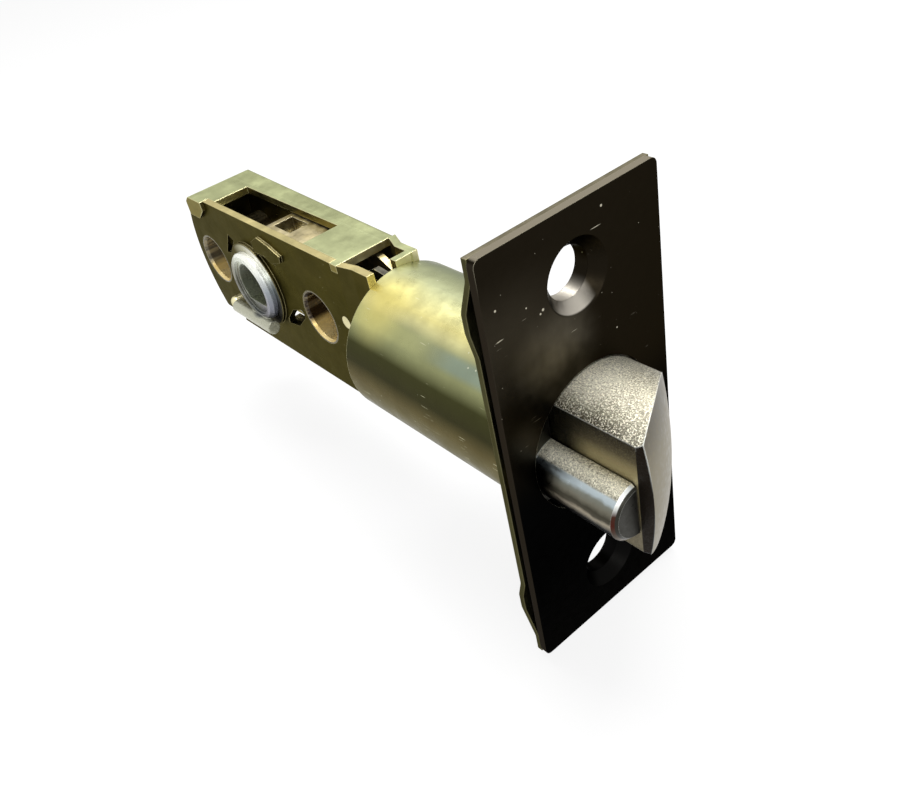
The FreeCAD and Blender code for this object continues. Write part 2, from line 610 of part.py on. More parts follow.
def plunger():
    """Half-round deadlocking plunger that lies against the bolt's flat."""
    body = new_body("plunger")
    low, face, rad = -d.plunger_low, -d.plunger_face, d.plunger_rad
    rod = new_sketch(body, "rod", "YZ_Plane", -d.bolt_stop)
    top, bottom = vector(face, low + rad), vector(face, low - rad)
    arc = rod.addGeometry(Part.Arc(top, vector(face - rad, low), bottom), False)
    line = rod.addGeometry(Part.LineSegment(bottom, top), False)
    rod.addConstraint(Sketcher.Constraint("Coincident", arc, 2, line, 1))
    rod.addConstraint(Sketcher.Constraint("Coincident", arc, 1, line, 2))
    rod.addConstraint(Sketcher.Constraint("PointOnObject", arc, 3, line))
    fix_point(rod, arc, 3, face, low)
    fix(rod, "Radius", (arc,), rad)
    pad(rod, d.plunger_nose + d.bolt_stop)
    tip = lambda e: near(e.CenterOfMass.x, d.plunger_nose) and e.Length > 8
    round_edges(body, tip, d.plunger_bevel, "Chamfer")
    foot = new_sketch(body, "foot", "YZ_Plane", -d.plunger_back)
    high = d.foot_high
    reach = root_of(d.bolt_collar, high)
    draw_outline(foot, [(face, -high), (face, high), (-reach, high, d.bolt_collar), (-reach, -high)])
    pad(foot, d.plunger_back - d.bolt_stop)
    slot = new_sketch(body, "strip_slot", "YZ_Plane", -d.plunger_back)
    draw_strip(slot)
    pocket(slot, d.strip_deep, reverse=True)
    spigot = new_sketch(body, "spigot", "YZ_Plane", -d.plunger_back)
    draw_circle(spigot, -d.spigot_side, -d.spigot_drop, d.spigot_rad)
    pad(spigot, d.spigot_long, reverse=True)
    return body


def draw_strip(sketch, room=0):
    """Cross-section of the strip behind the plunger, with some room round it for a hole."""
    face = -d.plunger_face - d.slide_lap
    draw_box(sketch, face - d.strip_thick - room, face + room, d.strip_low - room, d.strip_high + room)


def plunger_tail():
    """Strip that carries the plunger's movement back to the deadlocking lever."""
    body = new_body("plunger_tail")
    strip = new_sketch(body, "strip", "YZ_Plane", -d.strip_end)
    draw_strip(strip)
    pad(strip, d.strip_end - d.plunger_back + d.strip_deep)
    return body


def bolt_tail():
    """Flat tail pinned in the bolt, with a T-shaped head behind the slide's bridge."""
    body = new_body("bolt_tail")
    strip = new_sketch(body, "strip", "XZ_Plane", -d.tail_half)
    high, hook, end, front = d.tail_high, d.tail_hook, -d.tail_end, d.tail_front
    neck = end + d.tail_head
    draw_outline(strip, [(end, -hook), (neck, -hook), (neck, -high), (front, -high), (front, high),
                         (neck, high), (neck, hook), (end, hook)])
    draw_circle(strip, d.cross_ahead, 0, d.cross_rad)
    pad(strip, d.tail_half * 2)
    return body


def cross_pin(name, along, rise, radius, close, far):
    """Plain pin along Y."""
    body = new_body(name)
    shank = new_sketch(body, "shank", "XZ_Plane", -far)
    draw_circle(shank, along, rise, radius)
    pad(shank, far - close)
    return body


def spring_seat():
    """Fixed disc in the tube that the springs push against, held by the tongues of the case."""
    body = new_body("spring_seat")
    disc = new_sketch(body, "disc", "YZ_Plane", -d.seat_back)
    draw_circle(disc, 0, 0, d.tube_rad - d.tube_wall)
    wide, tall = d.tail_half + d.seat_room, d.tail_high + d.seat_room
    draw_box(disc, -wide, wide, -tall, tall)
    draw_strip(disc, d.seat_room)
    pad(disc, d.seat_thick)
    return body


def deadlock_lever():
    """Bent lever on its own pin, over the tail of the bolt."""
    body = new_body("deadlock_lever")
    back, rise = -d.lever_back, d.lever_rise
    blade = new_sketch(body, "blade", "XZ_Plane", -d.lever_half)
    draw_outline(blade, [(back - 1.6, rise - 1.2), (back + 0.6, rise - 1.9), (back + 1.9, rise - 0.6),
                         (back + 1.7, rise + 4.2), (back + 6.2, rise + 5.0), (back + 6.2, rise + 7.3),
                         (back + 3.4, rise + 7.6), (back - 0.6, rise + 5.4), (back - 2.0, rise + 1.0)])
    draw_circle(blade, back, rise, d.lever_pin)
    pad(blade, d.lever_half * 2)
    return body


def coil(name, start, end, centre, radius, wire, turns):
    """Compression spring along X: a six-sided wire swept round a helix in short straight runs."""
    runs, sides = 8, 6
    start, end = start.number + wire, end.number - wire
    along = (end - start) / (turns * runs)
    turn = 2 * math.pi / runs
    spots = [FreeCAD.Vector(radius * math.cos(i * turn), radius * math.sin(i * turn), i * along)
             for i in range(turns * runs + 1)]
    ahead = (spots[1] - spots[0]).normalize()
    sideways = ahead.cross(FreeCAD.Vector(-1, 0, 0)).normalize()
    inward = sideways.cross(ahead)
    rim = []
    for i in range(sides + 1):
        angle = 2 * math.pi * i / sides
        rim.append(spots[0] + inward * (wire * math.cos(angle)) + sideways * (wire * math.sin(angle)))
    path, section = Part.makePolygon(spots), Part.makePolygon(rim)
    spring = doc.addObject("Part::Feature", name)
    spring.Shape = path.makePipeShell([section], True, False, 1)
    spring.Label = name
    to_x = FreeCAD.Rotation(FreeCAD.Vector(0, 1, 0), 90)
    spring.Placement = FreeCAD.Placement(FreeCAD.Vector(start, *centre), to_x)
    return spring


def bolt_spring():
    return coil("bolt_spring", d.seat_thick - d.seat_back, size(0), (0, 0),
                d.bolt_coil.number, d.bolt_wire.number, 8)


def plunger_spring():
    centre = (-d.spigot_side.number, -d.spigot_drop.number)
    return coil("plunger_spring", d.seat_thick - d.seat_back, -d.plunger_back, centre,
                d.plunger_coil.number, d.plunger_wire.number, 6)


nodes = [
    faceplate(), back_plate(), housing_tube(), case_channel(), side_plate(),
    post_eyelet("front_eyelet", d.front_post), post_eyelet("rear_eyelet", d.rear_post),
    hub(), stop_pin(), retractor(), latchbolt(), bolt_tail(),
    cross_pin("bolt_pin", d.cross_ahead, 0, d.cross_rad, d.hub_fit - d.bolt_flat, d.cross_far),
    plunger(), plunger_tail(), spring_seat(), bolt_spring(), plunger_spring(), deadlock_lever(),
    cross_pin("lever_pin", -d.lever_back, d.lever_rise, d.lever_pin, -d.case_half, d.far_front),
]

doc.recompute()
for item in doc.Objects:
    if "Invalid" in item.State or "Error" in item.State:
        raise RuntimeError("object failed: " + item.Name)

os.makedirs("parts", exist_ok=True)
for node in nodes:
    shape = node.Shape
    if shape.isNull() or not shape.isValid():
        raise RuntimeError("shape is not valid: " + node.Label)
    shape.exportStep("parts/%s.step" % node.Label)
    print("%-16s volume %9.1f  solids %d" % (node.Label, shape.Volume, len(shape.Solids)))
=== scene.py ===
import math

import bmesh
import bpy
from mathutils import Matrix, Vector


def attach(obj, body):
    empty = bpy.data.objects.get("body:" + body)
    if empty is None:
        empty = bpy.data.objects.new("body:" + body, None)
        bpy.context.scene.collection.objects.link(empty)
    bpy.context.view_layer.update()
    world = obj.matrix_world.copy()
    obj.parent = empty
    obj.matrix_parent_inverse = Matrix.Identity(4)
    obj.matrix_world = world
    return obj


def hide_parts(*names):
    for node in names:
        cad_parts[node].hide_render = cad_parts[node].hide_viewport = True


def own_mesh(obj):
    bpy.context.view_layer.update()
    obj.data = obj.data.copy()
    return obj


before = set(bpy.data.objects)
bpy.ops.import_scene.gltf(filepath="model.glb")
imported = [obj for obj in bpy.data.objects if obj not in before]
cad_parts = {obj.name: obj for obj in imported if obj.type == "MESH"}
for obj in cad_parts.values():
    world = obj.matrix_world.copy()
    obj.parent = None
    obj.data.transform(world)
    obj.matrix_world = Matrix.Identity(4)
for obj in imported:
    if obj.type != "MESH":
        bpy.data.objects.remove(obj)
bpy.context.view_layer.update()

# Lengths and places are in millimetres in the object's frame, and angles are in degrees
MM = 0.001

# Camera: the photo's viewpoint
CAMERA_AT = (57.987, -54.849, 66.773)
CAMERA_AZIMUTH, CAMERA_ELEVATION, CAMERA_ROLL = 57.639, 35.996, -13.030
SENSOR_WIDTH = 36.0
FOCAL_PIXELS, PHOTO_WIDTH = 896.284, 900
CLIP_NEAR, CLIP_FAR = 1, 20000

# Surroundings
FLOOR_LEVEL, FLOOR_HALF = -29.5, 1500
FLOOR_GREY, FLOOR_GLOW = 0.9, 0.85
WORLD_LIGHT = 0.55

# Places that the finishes follow, and the dots of bare metal on the faceplate as (side, rise, radius)
HUB_BACK, FRONT_EYELET, REAR_EYELET = 69.85, 51.2, 85.3
PLUNGER_SIDE, PLUNGER_DROP = 5.65, 1.3
BARE_DOTS = ((4.15, 26.7, 0.18), (-5.2, 19.5, 0.20), (-5.6, 19.2, 0.15), (-7.3, 20.8, 0.12),
             (4.9, 11.8, 0.12), (-11.1, 22.5, 0.17))

# Curved faces stay smooth up to these angles
CAD_SMOOTH, PIECE_SMOOTH = 35, 30

# Bolt, with the slack and the seam that tell its faces apart
BOLT_RADIUS, BOLT_FLAT, BOLT_NOSE = 9.3, 5.5, 12.7
BOLT_STOP, BOLT_BACK, BOLT_COLLAR = -1.2, -8.5, 9.8
BOLT_BORE, BORE_END = 4.7, 0
NOSE_BACK, NOSE_SIDE = 11.1, 5.05
FACE_SLACK, FACE_SEAM = 0.01, 0.05
BEVEL_SLOPE, BEVEL_CURVE, BEVEL_CROWN = 0.28, 0.0315, 33.0
BEVEL_COLUMNS, BEVEL_ROWS = 44, 24

# Rear end of the case, sunk a little into the side walls' ends
CASE_REAR, REAR_BOW, REAR_SHEET, REAR_HALF = 91.5, 20.7, 1.1, 10.5
REAR_NEAR, REAR_FAR, REAR_SUNK = -3.85, 5.9, 0.05
REAR_STEPS = 24


def display(*levels):
    """A display colour of red, green and blue levels from 0 to 255, as linear light."""
    return tuple(((c / 255 + 0.055) / 1.055) ** 2.4 if c > 10 else c / 3295 for c in levels)


def turn_at(angle):
    """An angle on the scale of Look.turn."""
    return 0.5 + angle / 360


class Look:
    """Builds a material's node tree with short calls."""

    # How far noise moves the limits of bands, in turns, and the rays that find a rounded edge
    BAND_WANDER = 0.03
    EDGE_RAYS = 6

    def __init__(self, name):
        self.material = bpy.data.materials.new(name)
        self.material.use_nodes = True
        self.tree = self.material.node_tree
        self.tree.nodes.clear()
        self.place = self.add("ShaderNodeTexCoord").outputs["Object"]
        self.along, self.side, self.rise = (self.distance(axis) for axis in "XYZ")
        self.near_side = self.maths("MULTIPLY", self.side, -1.0)

    def add(self, kind, **settings):
        node = self.tree.nodes.new(kind)
        for key, value in settings.items():
            setattr(node, key, value)
        return node

    def join(self, source, target):
        self.tree.links.new(source, target)

    def feed(self, socket, value):
        """Links a socket, or sets it when the value is a plain number or colour."""
        if isinstance(value, bpy.types.NodeSocket):
            self.join(value, socket)
        elif hasattr(value, "__len__") and len(value) == 3 and socket.type == "RGBA":
            socket.default_value = (*value, 1.0)
        else:
            socket.default_value = value

    def maths(self, operation, first, second=0.0):
        """One step of arithmetic on values or plain numbers."""
        node = self.add("ShaderNodeMath", operation=operation)
        self.feed(node.inputs[0], first)
        self.feed(node.inputs[1], second)
        return node.outputs[0]

    def part(self, vector, axis):
        node = self.add("ShaderNodeSeparateXYZ")
        self.join(vector, node.inputs[0])
        return node.outputs["XYZ".index(axis)]

    def distance(self, axis):
        """The place along an axis, in millimetres."""
        return self.maths("MULTIPLY", self.part(self.place, axis), 1 / MM)

    def facing(self, axis):
        """1 where the surface faces along an axis, -1 where it faces the other way."""
        return self.part(self.add("ShaderNodeNewGeometry").outputs["Normal"], axis)

    def reach(self, across, up):
        """Distance from a line, given the two directions square to it."""
        squares = [self.maths("MULTIPLY", way, way) for way in (across, up)]
        return self.maths("SQRT", self.maths("ADD", *squares))

    def turn(self, across, up):
        """The angle from across towards up as 0 to 1: 0.5 along across, 0.75 along up."""
        angle = self.maths("ARCTAN2", up, across)
        return self.maths("ADD", self.maths("MULTIPLY", angle, 1 / (2 * math.pi)), 0.5)

    def noise(self, scale, detail, rough, where=None, distortion=0.0):
        """Noise from 0 to 1. The scale is per metre, so 1000 gives marks of about a millimetre."""
        node = self.add("ShaderNodeTexNoise")
        self.join(where or self.place, node.inputs["Vector"])
        node.inputs["Scale"].default_value = scale
        node.inputs["Detail"].default_value = detail
        node.inputs["Roughness"].default_value = rough
        node.inputs["Distortion"].default_value = distortion
        return node.outputs["Fac"]

    def streaks(self, scales, detail, rough, tilt=(0, 0, 0), distortion=0.0):
        """Noise with a scale of its own along each axis. The tilt is in radians about X, Y and Z."""
        mapping = self.add("ShaderNodeMapping")
        mapping.inputs["Scale"].default_value = scales
        mapping.inputs["Rotation"].default_value = tilt
        self.join(self.place, mapping.inputs["Vector"])
        return self.noise(1.0, detail, rough, mapping.outputs["Vector"], distortion)

    def ramp(self, value, *stops):
        """Maps a value to colours or greys, given as (position, colour) pairs."""
        node = self.add("ShaderNodeValToRGB")
        band = node.color_ramp
        while len(band.elements) < len(stops):
            band.elements.new(1.0)
        for element, (position, colour) in zip(band.elements, stops):
            levels = colour if hasattr(colour, "__len__") else (colour, colour, colour)
            element.position = position
            element.color = (*levels, 1.0)
        self.join(value, node.inputs["Fac"])
        return node.outputs["Color"]

    def uneven(self, noise, low, high):
        """A roughness that follows a noise between two values."""
        return self.ramp(noise, (0.3, low), (0.7, high))

    def bands(self, turn, wander, *stops):
        """Colours by angle: stops are (angle, display colour), and wander moves the limits a little."""
        shift = self.maths("MULTIPLY", self.maths("SUBTRACT", wander, 0.5), self.BAND_WANDER)
        stops = [(turn_at(angle), display(*colour)) for angle, colour in stops]
        return self.ramp(self.maths("ADD", turn, shift), *stops)

    def mix(self, factor, first, second, blend="MIX"):
        """The first colour where the factor is 0 and the second where it is 1."""
        node = self.add("ShaderNodeMix", data_type="RGBA", blend_type=blend)
        self.feed(node.inputs["Factor"], factor)
        self.feed(node.inputs[6], first)
        self.feed(node.inputs[7], second)
        return node.outputs[2]

    def paint(self, under, mask, colour, share=1.0):
        """Covers what is under it with a share of a display colour, where the mask is 1."""
        if share < 1:
            mask = self.both(mask, share)
        return self.mix(mask, under, display(*colour))

    def stain(self, under, scale, dark):
        """Darkens a colour in soft blotches."""
        blotches = self.ramp(self.noise(scale, 3, 0.6), (0.3, dark), (0.7, 1.0))
        return self.mix(0.8, under, blotches, "MULTIPLY")

    def fade(self, value, low, high):
        """0 at low and 1 at high, with a smooth change between them. Low may be the larger one."""
        node = self.add("ShaderNodeMapRange", interpolation_type="SMOOTHSTEP")
        self.feed(node.inputs["Value"], value)
        node.inputs["From Min"].default_value = low
        node.inputs["From Max"].default_value = high
        return node.outputs["Result"]

    def sweep(self, turn, low, high):
        """0 at one angle and 1 at another."""
        return self.fade(turn, turn_at(low), turn_at(high))

    def both(self, *masks):
        """The part that all masks share. A mask may be a plain number."""
        result = masks[0]
        for mask in masks[1:]:
            result = self.maths("MULTIPLY", result, mask)
        return result

    def opposite(self, mask):
        """1 where the mask is 0, and 0 where it is 1."""
        return self.maths("SUBTRACT", 1.0, mask)

    def spot(self, place, radius, soft=1.0):
        """1 near a place, fading to 0 at the radius over a soft share of it."""
        gap = self.add("ShaderNodeVectorMath", operation="DISTANCE")
        self.join(self.place, gap.inputs[0])
        gap.inputs[1].default_value = [c * MM for c in place]
        return self.fade(gap.outputs["Value"], radius * MM, radius * (1 - soft) * MM)

    def rounded(self, radius):
        """The surface's normal with its sharp edges rounded."""
        bevel = self.add("ShaderNodeBevel", samples=self.EDGE_RAYS)
        bevel.inputs["Radius"].default_value = radius * MM
        return bevel.outputs["Normal"]

    def edge(self, radius, low=0.02, high=0.10):
        """1 along sharp edges, from how far a rounded normal leaves the face's own."""
        dot = self.add("ShaderNodeVectorMath", operation="DOT_PRODUCT")
        self.join(self.rounded(radius), dot.inputs[0])
        self.join(self.add("ShaderNodeNewGeometry").outputs["True Normal"], dot.inputs[1])
        return self.fade(dot.outputs["Value"], 1 - low, 1 - high)

    def specks(self, scale, size, sparse):
        """Small bright dots, kept only where a broader noise is high."""
        cells = self.add("ShaderNodeTexVoronoi")
        self.join(self.place, cells.inputs["Vector"])
        cells.inputs["Scale"].default_value = scale
        dots = self.fade(cells.outputs["Distance"], size, size * 0.5)
        return self.both(dots, self.fade(self.noise(scale * 0.6, 1, 0.4), sparse, sparse + 0.05))

    def scratches(self, tilt, sparse):
        """Short thin lines in one direction, kept only where a broader noise is high."""
        lines = self.fade(self.streaks((300, 300, 6000), 1, 0.3, tilt), 0.70, 0.76)
        return self.both(lines, self.fade(self.noise(230, 1, 0.4), sparse, sparse + 0.06))

    def relief(self, *layers, edge=0.0):
        """Bump from (height, depth) layers, over rounded edges where edge gives their radius."""
        normal = self.rounded(edge) if edge else None
        for height, depth in layers:
            bump = self.add("ShaderNodeBump")
            bump.inputs["Distance"].default_value = depth * MM
            self.join(height, bump.inputs["Height"])
            if normal is not None:
                self.join(normal, bump.inputs["Normal"])
            normal = bump.outputs["Normal"]
        return normal

    def finish(self, colour, metallic, rough, normal, tint=(1, 1, 1)):
        """Ends the tree with one shader. The tint is how much a metal reflects at grazing angles."""
        shader = self.add("ShaderNodeBsdfPrincipled")
        self.feed(shader.inputs["Base Color"], colour)
        self.feed(shader.inputs["Metallic"], metallic)
        self.feed(shader.inputs["Roughness"], rough)
        self.feed(shader.inputs["Specular Tint"], tint)
        self.feed(shader.inputs["Normal"], normal)
        output = self.add("ShaderNodeOutputMaterial")
        self.join(shader.outputs[0], output.inputs["Surface"])
        return self.material


def bronze_dirt(look):
    """1 on the faceplate's dots, dust and scratches of bare metal."""
    dust = look.specks(1900, 0.15, 0.66)
    marks = look.scratches((0.6, 0, 0), 0.62)
    for side, rise, radius in BARE_DOTS:
        marks = look.maths("ADD", marks, look.spot((0, side, rise), radius, 0.5))
    return look.maths("MINIMUM", look.maths("ADD", marks, look.both(dust, 0.8)), 1.0)


def dark_bronze():
    """Near-black bronze plating with dust, scratches and bare edges, paler above the bolt with painted
    reflections, and with painted light and highlights on its top, flank and edges.
    """
    look = Look("dark_bronze")
    side, rise = look.side, look.rise
    cloud = look.noise(130, 3, 0.55)
    colour = look.mix(look.fade(rise, -4, 8), display(8, 8, 8), display(28, 24, 17))
    colour = look.paint(colour, look.fade(rise, -12, -30), (26, 25, 23), 0.35)
    # Painted reflections: paler to the left above the bolt, with a clouded patch of painted reflection at
    # its bore and a weaker one beside it
    painted_sheen = look.both(look.fade(side, 1, -9), look.fade(rise, 9.5, 14.5), look.fade(rise, 27, 18))
    colour = look.paint(colour, painted_sheen, (62, 57, 47), 0.55)
    glow = look.both(look.spot((0, -4.2, 13.2), 7.5), look.fade(cloud, 0.15, 0.75))
    colour = look.paint(colour, glow, (104, 98, 84))
    colour = look.paint(colour, look.spot((0, -9.2, 5.5), 4.0), (66, 61, 52), 0.5)
    colour = look.paint(colour, look.both(bronze_dirt(look), look.fade(rise, -6, 6)), (190, 184, 165))
    # Painted light on its outline: the top lit from above, and the near flank in painted shade
    top = look.both(look.fade(look.facing("Z"), 0.72, 0.95), look.fade(rise, 27.8, 28.4))
    colour = look.paint(colour, top, (110, 104, 91))
    flank = look.both(look.fade(look.facing("Y"), -0.72, -0.95), look.fade(side, -12.2, -12.6))
    colour = look.paint(colour, flank, (46, 41, 34))
    # The lit lower wall of the upper screw hole
    in_hole = look.both(look.fade(look.along, -0.12, -0.3), look.fade(rise, 14, 16),
                        look.fade(rise, 27.0, 26.2))
    lit_wall = look.both(in_hole, look.fade(look.facing("Z"), 0.25, 0.60), look.fade(side, 2.6, 0.4))
    colour = look.paint(colour, lit_wall, (182, 176, 164))
    # Bare edges along the top, which also carry a painted highlight, and a painted highlight on the left of
    # the bolt's bore rim
    worn = look.edge(0.12)
    colour = look.paint(colour, look.both(worn, look.fade(rise, 24, 29)), (136, 130, 112))
    bore_rim_highlight = look.both(worn, look.fade(look.reach(side, rise), 10.3, 10.0), look.fade(side, 3, -2))
    colour = look.paint(colour, bore_rim_highlight, (186, 182, 164))
    rough = look.mix(top, look.uneven(look.noise(900, 3, 0.6), 0.30, 0.44), (0.72, 0.72, 0.72))
    normal = look.relief((look.noise(2600, 2, 0.6), 0.01), edge=0.12)
    return look.finish(colour, 1.0, rough, normal, tint=(0.45, 0.45, 0.45))


def tube_zinc():
    """Yellow chromate on the drawn tube, coloured by angle round it in bands of yellow, blue-green, olive
    and beige along its length: partly the chromate's own tints and partly painted light and painted
    reflections, with a painted highlight on top and painted shade inside.
    """
    look = Look("tube_zinc")
    turn = look.turn(look.near_side, look.rise)
    wander = look.streaks((22, 55, 55), 3, 0.5)
    colour = look.bands(
        turn, wander,
        (-180, (136, 130, 78)), (-130, (120, 112, 66)), (-60, (92, 88, 62)), (-18, (126, 117, 78)),
        (1, (98, 88, 54)), (13, (56, 54, 32)), (27, (66, 66, 38)), (38, (146, 149, 106)),
        (51, (160, 163, 122)), (58, (206, 201, 144)), (65, (212, 203, 136)), (90, (196, 200, 156)),
        (118, (132, 140, 108)), (150, (146, 142, 90)), (180, (136, 130, 78)))
    # One band is blue near the faceplate and green further back
    band = look.sweep(turn, 37.8, 43.92)
    blue = look.both(band, look.sweep(turn, 54.72, 48.96), look.fade(look.along, -21, -14))
    colour = look.paint(colour, blue, (138, 154, 140), 0.75)
    green = look.both(band, look.sweep(turn, 55.8, 50.4), look.fade(look.along, -18, -25))
    colour = look.paint(colour, green, (178, 180, 126), 0.8)
    # A painted highlight on the top of the tube
    colour = look.paint(colour, look.spot((-31, -5, 9.5), 7), (240, 224, 126), 0.6)
    colour = look.stain(colour, 210, 0.82)
    # Painted shade inside the tube
    inside = look.fade(look.reach(look.side, look.rise), 10.4, 10.2)
    colour = look.paint(colour, inside, (26, 22, 12))
    colour = look.paint(colour, look.specks(900, 0.14, 0.58), (232, 232, 205), 0.55)
    colour = look.paint(colour, look.scratches((1.2, 0, 0.4), 0.56), (225, 222, 185), 0.6)
    colour = look.paint(colour, look.edge(0.2), (226, 218, 170), 0.7)
    rough = look.uneven(look.noise(300, 3, 0.6), 0.22, 0.40)
    drawn = look.streaks((500, 3000, 3000), 2, 0.6)
    normal = look.relief((drawn, 0.01), (look.noise(420, 3, 0.55), 0.03), edge=0.18)
    return look.finish(colour, 1.0, rough, normal, tint=(0.66, 0.66, 0.62))


def pressed_ring(look, wander):
    """Where the sheet is pressed out round the hub, and the colours of the room that it mirrors."""
    across = look.maths("ADD", look.along, HUB_BACK)
    near_hub = look.fade(look.reach(across, look.rise), 7.40, 7.00)
    mirrored = look.bands(
        look.turn(across, look.rise), wander,
        (-170, (92, 88, 72)), (-90, (60, 57, 44)), (-20, (80, 80, 80)), (8, (150, 155, 152)),
        (28, (236, 238, 230)), (60, (255, 255, 250)), (98, (196, 194, 170)), (130, (84, 78, 50)))
    return look.both(near_hub, look.fade(look.side, -5.2, -5.5)), mirrored


def sheet_zinc(name, broad, streak, top, low, cut, cut_share=0.75, ring=False):
    """Yellow chromate on folded sheet: its faces, its upper faces lit by painted light, its folds in
    painted shade, and its cut edges.
    """
    look = Look(name)
    along, side, rise = look.along, look.side, look.rise
    rolled = look.streaks((30, 120, 120), 4, 0.55, distortion=0.5)
    colour = look.mix(look.ramp(rolled, (0.35, 0.0), (0.70, 0.8)), display(*broad), display(*streak))
    # Painted light on the upper faces, and painted shade on the faces turned down
    upper = look.both(look.fade(look.facing("Z"), 0.5, 0.9), look.fade(rise, 6, 9))
    colour = look.paint(colour, upper, top)
    colour = look.paint(colour, look.fade(look.facing("Z"), -0.2, -0.8), low)
    front_cut = look.both(look.fade(look.facing("X"), 0.6, 0.9), look.fade(along, -46, -42))
    colour = look.paint(colour, front_cut, cut)
    colour = look.stain(colour, 330, 0.74)
    colour = look.paint(colour, look.edge(0.22), cut, cut_share)
    # Painted reflection on the ring pressed out round the hub
    if ring:
        near_hub, mirrored = pressed_ring(look, rolled)
        colour = look.mix(near_hub, colour, mirrored)
    colour = look.paint(colour, look.specks(1100, 0.12, 0.60), (200, 194, 160), 0.4)
    rough = look.uneven(look.noise(300, 3, 0.6), 0.26, 0.44)
    grain = look.streaks((500, 2600, 2600), 2, 0.6)
    crease = look.both(look.fade(rise, 8, 9), look.fade(along, -30, -34), look.fade(side, 2.9, 3.3))
    normal = look.relief((grain, 0.012), (look.noise(420, 3, 0.55), 0.03), (crease, 0.12), edge=0.18)
    return look.finish(colour, 1.0, rough, normal, tint=(0.52, 0.51, 0.46))


def eyelet_zinc(name, back, shade):
    """Golden plating in a hollow rivet, ribbed where a screw has marked it, coloured by angle in painted
    light and shade: its lower wall lit gold, its upper wall and near face in painted shade.
    """
    look = Look(name)
    turn = look.turn(look.maths("ADD", look.along, back), look.rise)
    ribs = look.streaks((1500, 90, 1500), 1, 0.4)
    colour = look.bands(
        turn, ribs,
        (-175, shade), (-158, shade), (-140, (214, 186, 116)), (-110, (246, 220, 152)),
        (-60, (236, 212, 146)), (-5, (200, 172, 104)), (30, (60, 46, 22)), (130, shade))
    colour = look.paint(colour, look.ramp(ribs, (0.45, 0.0), (0.62, 0.18)), (250, 232, 180))
    # Painted shade on the near face
    colour = look.paint(colour, look.fade(look.facing("Y"), -0.5, -0.9), (84, 76, 42))
    colour = look.paint(colour, look.edge(0.15), (225, 210, 160), 0.12)
    rough = look.uneven(look.noise(500, 2, 0.6), 0.24, 0.42)
    return look.finish(colour, 0.5, rough, look.relief((ribs, 0.02), edge=0.12))


def hub_zinc():
    """Clear zinc on the cast hub, coloured by angle in painted light and painted reflections: white above,
    blue-grey to the right, greenish inside its hole.
    """
    look = Look("hub_zinc")
    across, up = look.maths("ADD", look.along, HUB_BACK), look.rise
    turn, reach = look.turn(across, up), look.reach(across, up)
    wander = look.noise(420, 3, 0.6)
    outside = look.bands(
        turn, wander,
        (-170, (96, 96, 84)), (-100, (76, 80, 78)), (-50, (70, 72, 80)), (-18, (116, 120, 130)),
        (10, (150, 158, 164)), (36, (226, 230, 224)), (50, (248, 249, 240)), (110, (250, 250, 242)),
        (140, (206, 210, 196)), (175, (104, 102, 90)))
    inside = look.bands(
        turn, wander,
        (-175, (104, 110, 92)), (-120, (126, 130, 108)), (-70, (112, 116, 96)), (-38, (206, 202, 190)),
        (-14, (196, 192, 184)), (10, (120, 124, 112)), (60, (196, 200, 184)), (110, (200, 204, 186)),
        (150, (110, 114, 96)))
    face = look.bands(
        turn, wander,
        (-175, (86, 84, 72)), (-100, (98, 100, 88)), (-55, (92, 90, 96)), (-20, (132, 132, 142)),
        (16, (150, 154, 158)), (46, (228, 231, 222)), (80, (220, 224, 210)), (120, (196, 200, 182)),
        (150, (124, 122, 104)))
    colour = look.mix(look.fade(reach, 4.25, 4.0), outside, inside)
    on_face = look.both(look.fade(look.facing("Y"), -0.6, -0.9), look.fade(reach, 8.0, 7.0))
    colour = look.mix(on_face, colour, face)
    arm = look.both(look.fade(reach, 5.0, 5.4), look.fade(up, -4.6, -5.2))
    colour = look.paint(colour, arm, (178, 178, 158))
    colour = look.paint(colour, look.edge(0.25), (238, 240, 232), 0.2)
    rough = look.uneven(look.noise(500, 2, 0.6), 0.22, 0.38)
    return look.finish(colour, 0.5, rough, look.relief((look.noise(700, 2, 0.4), 0.02), edge=0.4))


def inner_steel(name, light, dark):
    """Plated sheet inside the case, oily and dull."""
    look = Look(name)
    cloud = look.noise(260, 4, 0.6)
    colour = look.mix(look.ramp(cloud, (0.35, 0.0), (0.65, 1.0)), display(*dark), display(*light))
    colour = look.paint(colour, look.edge(0.2), (214, 205, 176), 0.5)
    rough = look.uneven(look.noise(500, 2, 0.6), 0.26, 0.46)
    return look.finish(colour, 1.0, rough, look.relief((look.noise(700, 3, 0.5), 0.04), edge=0.18))


def cast_grain(look, colour):
    """Mixes a die casting's specks into a colour. Gives the colour, the fine and the coarse noise."""
    fine = look.noise(5600, 3, 0.7)
    coarse = look.noise(1500, 3, 0.6)
    colour = look.paint(colour, look.ramp(fine, (0.52, 0.0), (0.62, 0.90)), (252, 247, 224))
    colour = look.paint(colour, look.ramp(fine, (0.38, 0.60), (0.47, 0.0)), (64, 60, 47))
    colour = look.paint(colour, look.ramp(coarse, (0.30, 0.25), (0.48, 0.0)), (110, 104, 88))
    return colour, fine, coarse


